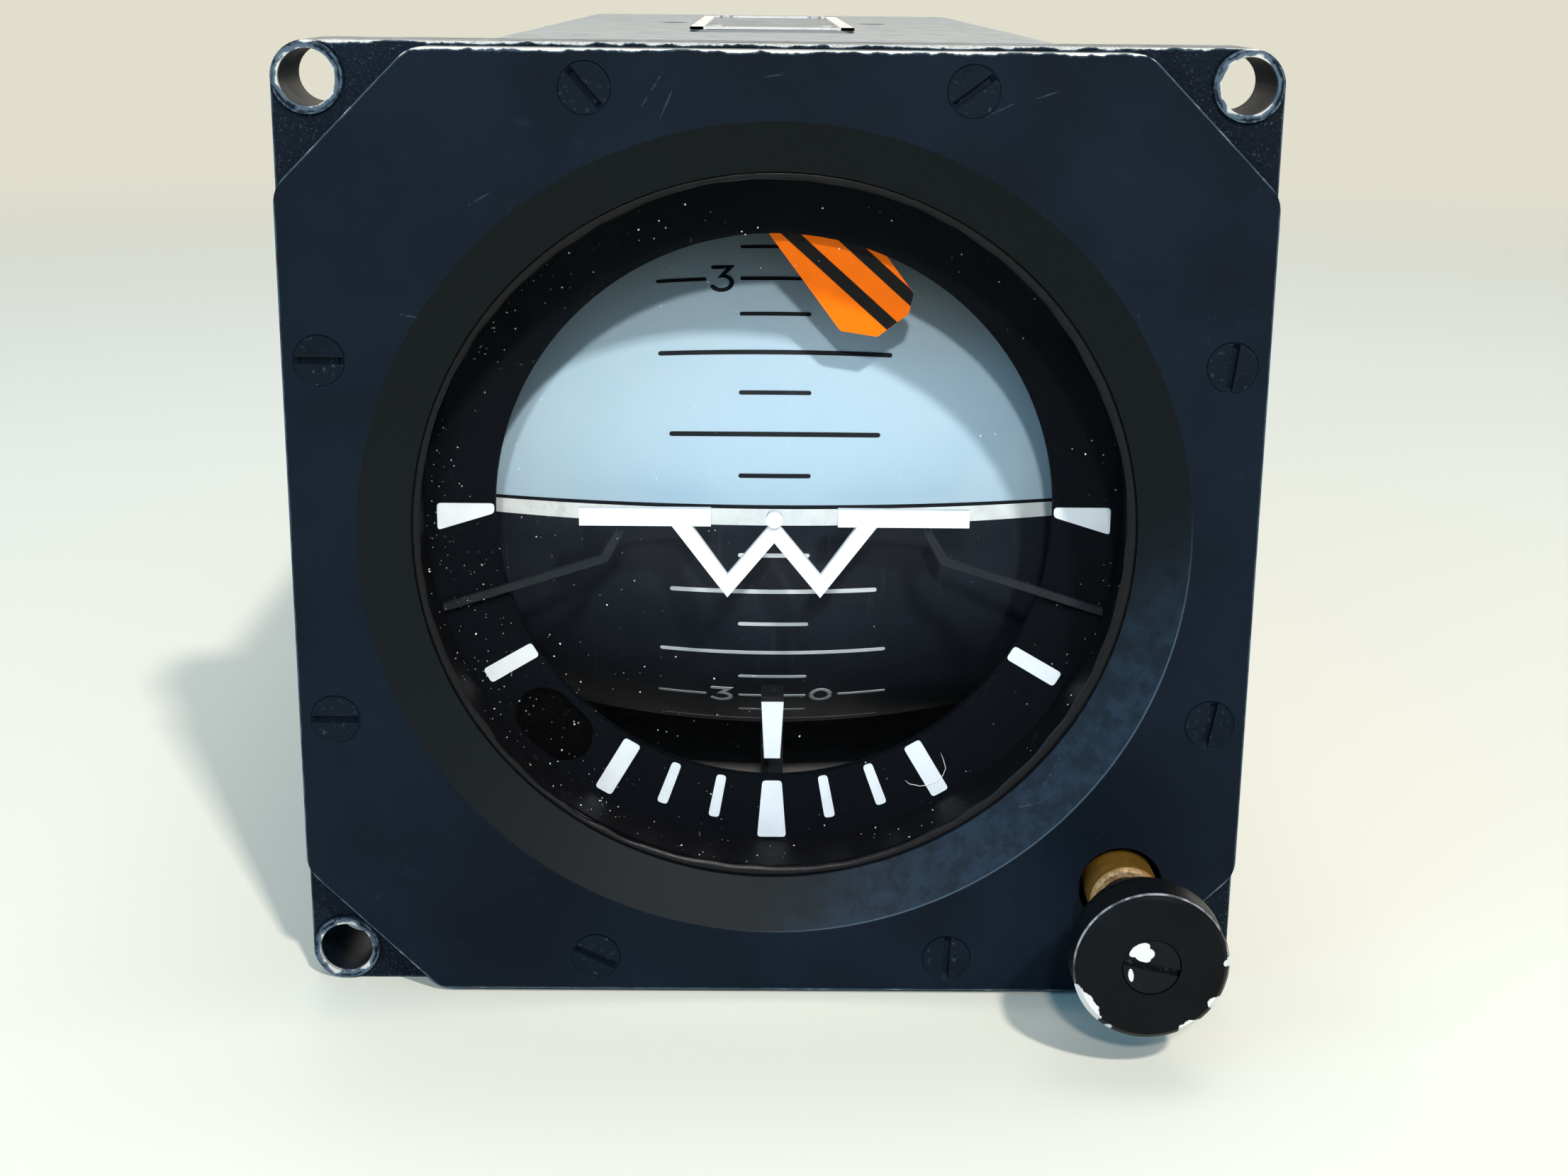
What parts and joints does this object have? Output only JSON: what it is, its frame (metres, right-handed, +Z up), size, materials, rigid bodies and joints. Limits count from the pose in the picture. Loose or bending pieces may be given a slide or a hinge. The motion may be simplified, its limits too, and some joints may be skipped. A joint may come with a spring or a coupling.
{
  "type": "attitude indicator",
  "caption": "Square-bezel panel attitude indicator with a self-contained gyro, barrel horizon drum, bank pointer, warning flag and sprung pull knob.",
  "frame": {"origin": "centre of the four panel-screw holes, on the rear face of the mounting flange", "axes": "+X right as the pilot sees the dial, +Y back into the panel along the case, +Z up"},
  "size_m": [0.083, 0.2331, 0.083],
  "materials": {
    "bezel_paint": "satin",
    "case_paint": "satin",
    "glass": "polished",
    "sealant": "gloss",
    "mask_black": "matte",
    "symbol_white": "matte",
    "wire_black": "matte",
    "steel": "satin",
    "dark_steel": "satin",
    "alloy": "satin",
    "brass": "worn",
    "knob_black": "satin",
    "sky_blue": "matte",
    "ground_black": "matte",
    "flag_orange": "matte",
    "board_green": "satin",
    "insulator": "matte",
    "winding": "satin",
    "rotor_metal": "satin"
  },
  "bodies": {
    "root": {"front_plate": "bezel_paint", "front_plate_screws": "bezel_paint", "mounting_flange": "bezel_paint", "glass_seal": "sealant", "cover_glass": "glass", "dial_mask": "mask_black", "mask_screws": "dark_steel", "aircraft_symbol": "symbol_white", "symbol_wires": "wire_black", "case_tube": "case_paint", "case_screws": "dark_steel", "rear_cover": "case_paint", "rear_cover_screws": "steel", "connector_shell": "alloy", "connector_insert": "insulator", "connector_pins": "brass", "connector_screws": "steel", "bearing_housing": "alloy", "roll_bearings": "steel", "tie_rods": "steel", "circuit_boards": "board_green", "transformer": "dark_steel", "capacitors": "alloy", "brush_block": "insulator", "roll_torquer_stator": "winding", "flag_pivot": "steel", "flag_coil": "winding", "knob_bush": "brass", "pocket_cover": "alloy", "return_spring": "steel", "fast_erect_switch": "insulator"},
    "roll_gimbal": {"roll_gimbal_frame": "alloy", "bank_pointer": "symbol_white", "roll_shaft": "steel", "slip_rings": "brass", "roll_torquer_rotor": "dark_steel", "drum_bearings": "steel", "gimbal_bearings": "steel", "idler_pins": "steel"},
    "gyro_unit": {"gyro_housing": "alloy", "gyro_covers": "alloy", "trunnions": "steel", "gimbal_gear": "brass", "rotor_bearings": "steel", "gyro_stator": "winding"},
    "rotor": {"gyro_rotor": "rotor_metal"},
    "pitch_drum": {"drum_sky": "sky_blue", "drum_ground": "ground_black", "drum_end_caps": "ground_black", "drum_axle": "steel", "drum_gear": "brass"},
    "rear_idler": {"rear_idler_gear": "brass"},
    "front_idler": {"front_idler_gear": "brass"},
    "flag": {"flag_blade": "flag_orange"},
    "knob": {"pull_knob": "knob_black", "knob_screw": "knob_black", "knob_shaft": "steel", "pull_arm": "steel", "pull_rod": "steel"},
    "plunger": {"switch_plunger": "insulator"}
  },
  "joints": [
    {"name": "roll", "type": "hinge", "parent": "root", "child": "roll_gimbal", "pos_m": [0, 0.13, 0], "axis": [0, 1, 0], "continuous": true},
    {"name": "gyro_pitch", "type": "hinge", "parent": "roll_gimbal", "child": "gyro_unit", "pos_m": [0, 0.0896, 0], "axis": [1, 0, 0], "range_deg": [-55, 55]},
    {"name": "gyro_spin", "type": "hinge", "parent": "gyro_unit", "child": "rotor", "pos_m": [0, 0.0896, 0], "axis": [0, 0, 1], "continuous": true},
    {"name": "drum_pitch", "type": "hinge", "parent": "roll_gimbal", "child": "pitch_drum", "pos_m": [0, 0.032, 0], "axis": [1, 0, 0], "range_deg": [-83, 83]},
    {"name": "rear_idler_turn", "type": "hinge", "parent": "roll_gimbal", "child": "rear_idler", "pos_m": [0.0293, 0.0668, 0], "axis": [1, 0, 0], "range_deg": [-95, 95]},
    {"name": "front_idler_turn", "type": "hinge", "parent": "roll_gimbal", "child": "front_idler", "pos_m": [0.0293, 0.05, 0], "axis": [1, 0, 0], "range_deg": [-95, 95]},
    {"name": "flag_swing", "type": "hinge", "parent": "root", "child": "flag", "pos_m": [-0.0028, 0.0021, 0.0338], "axis": [0, -1, 0], "range_deg": [0, 28], "stiffness_Nm_per_rad": 0.0006, "springref_deg": -11.46},
    {"name": "knob_pull", "type": "slide", "parent": "root", "child": "knob", "axis": [0, -1, 0], "range_m": [0, 0.004], "stiffness_N_per_m": 800, "springref_m": -0.002, "deforming": ["return_spring"]},
    {"name": "plunger_push", "type": "slide", "parent": "root", "child": "plunger", "axis": [0.7071, 0, 0.7071], "range_m": [0, 0.0012]}
  ],
  "couplings": [
    {"joint": "drum_pitch", "follows": "gyro_pitch", "ratio": -1.5},
    {"joint": "rear_idler_turn", "follows": "gyro_pitch", "ratio": -1.7143},
    {"joint": "front_idler_turn", "follows": "gyro_pitch", "ratio": 1.7143},
    {"joint": "plunger_push", "follows": "knob_pull", "ratio": 0.3}
  ]
}
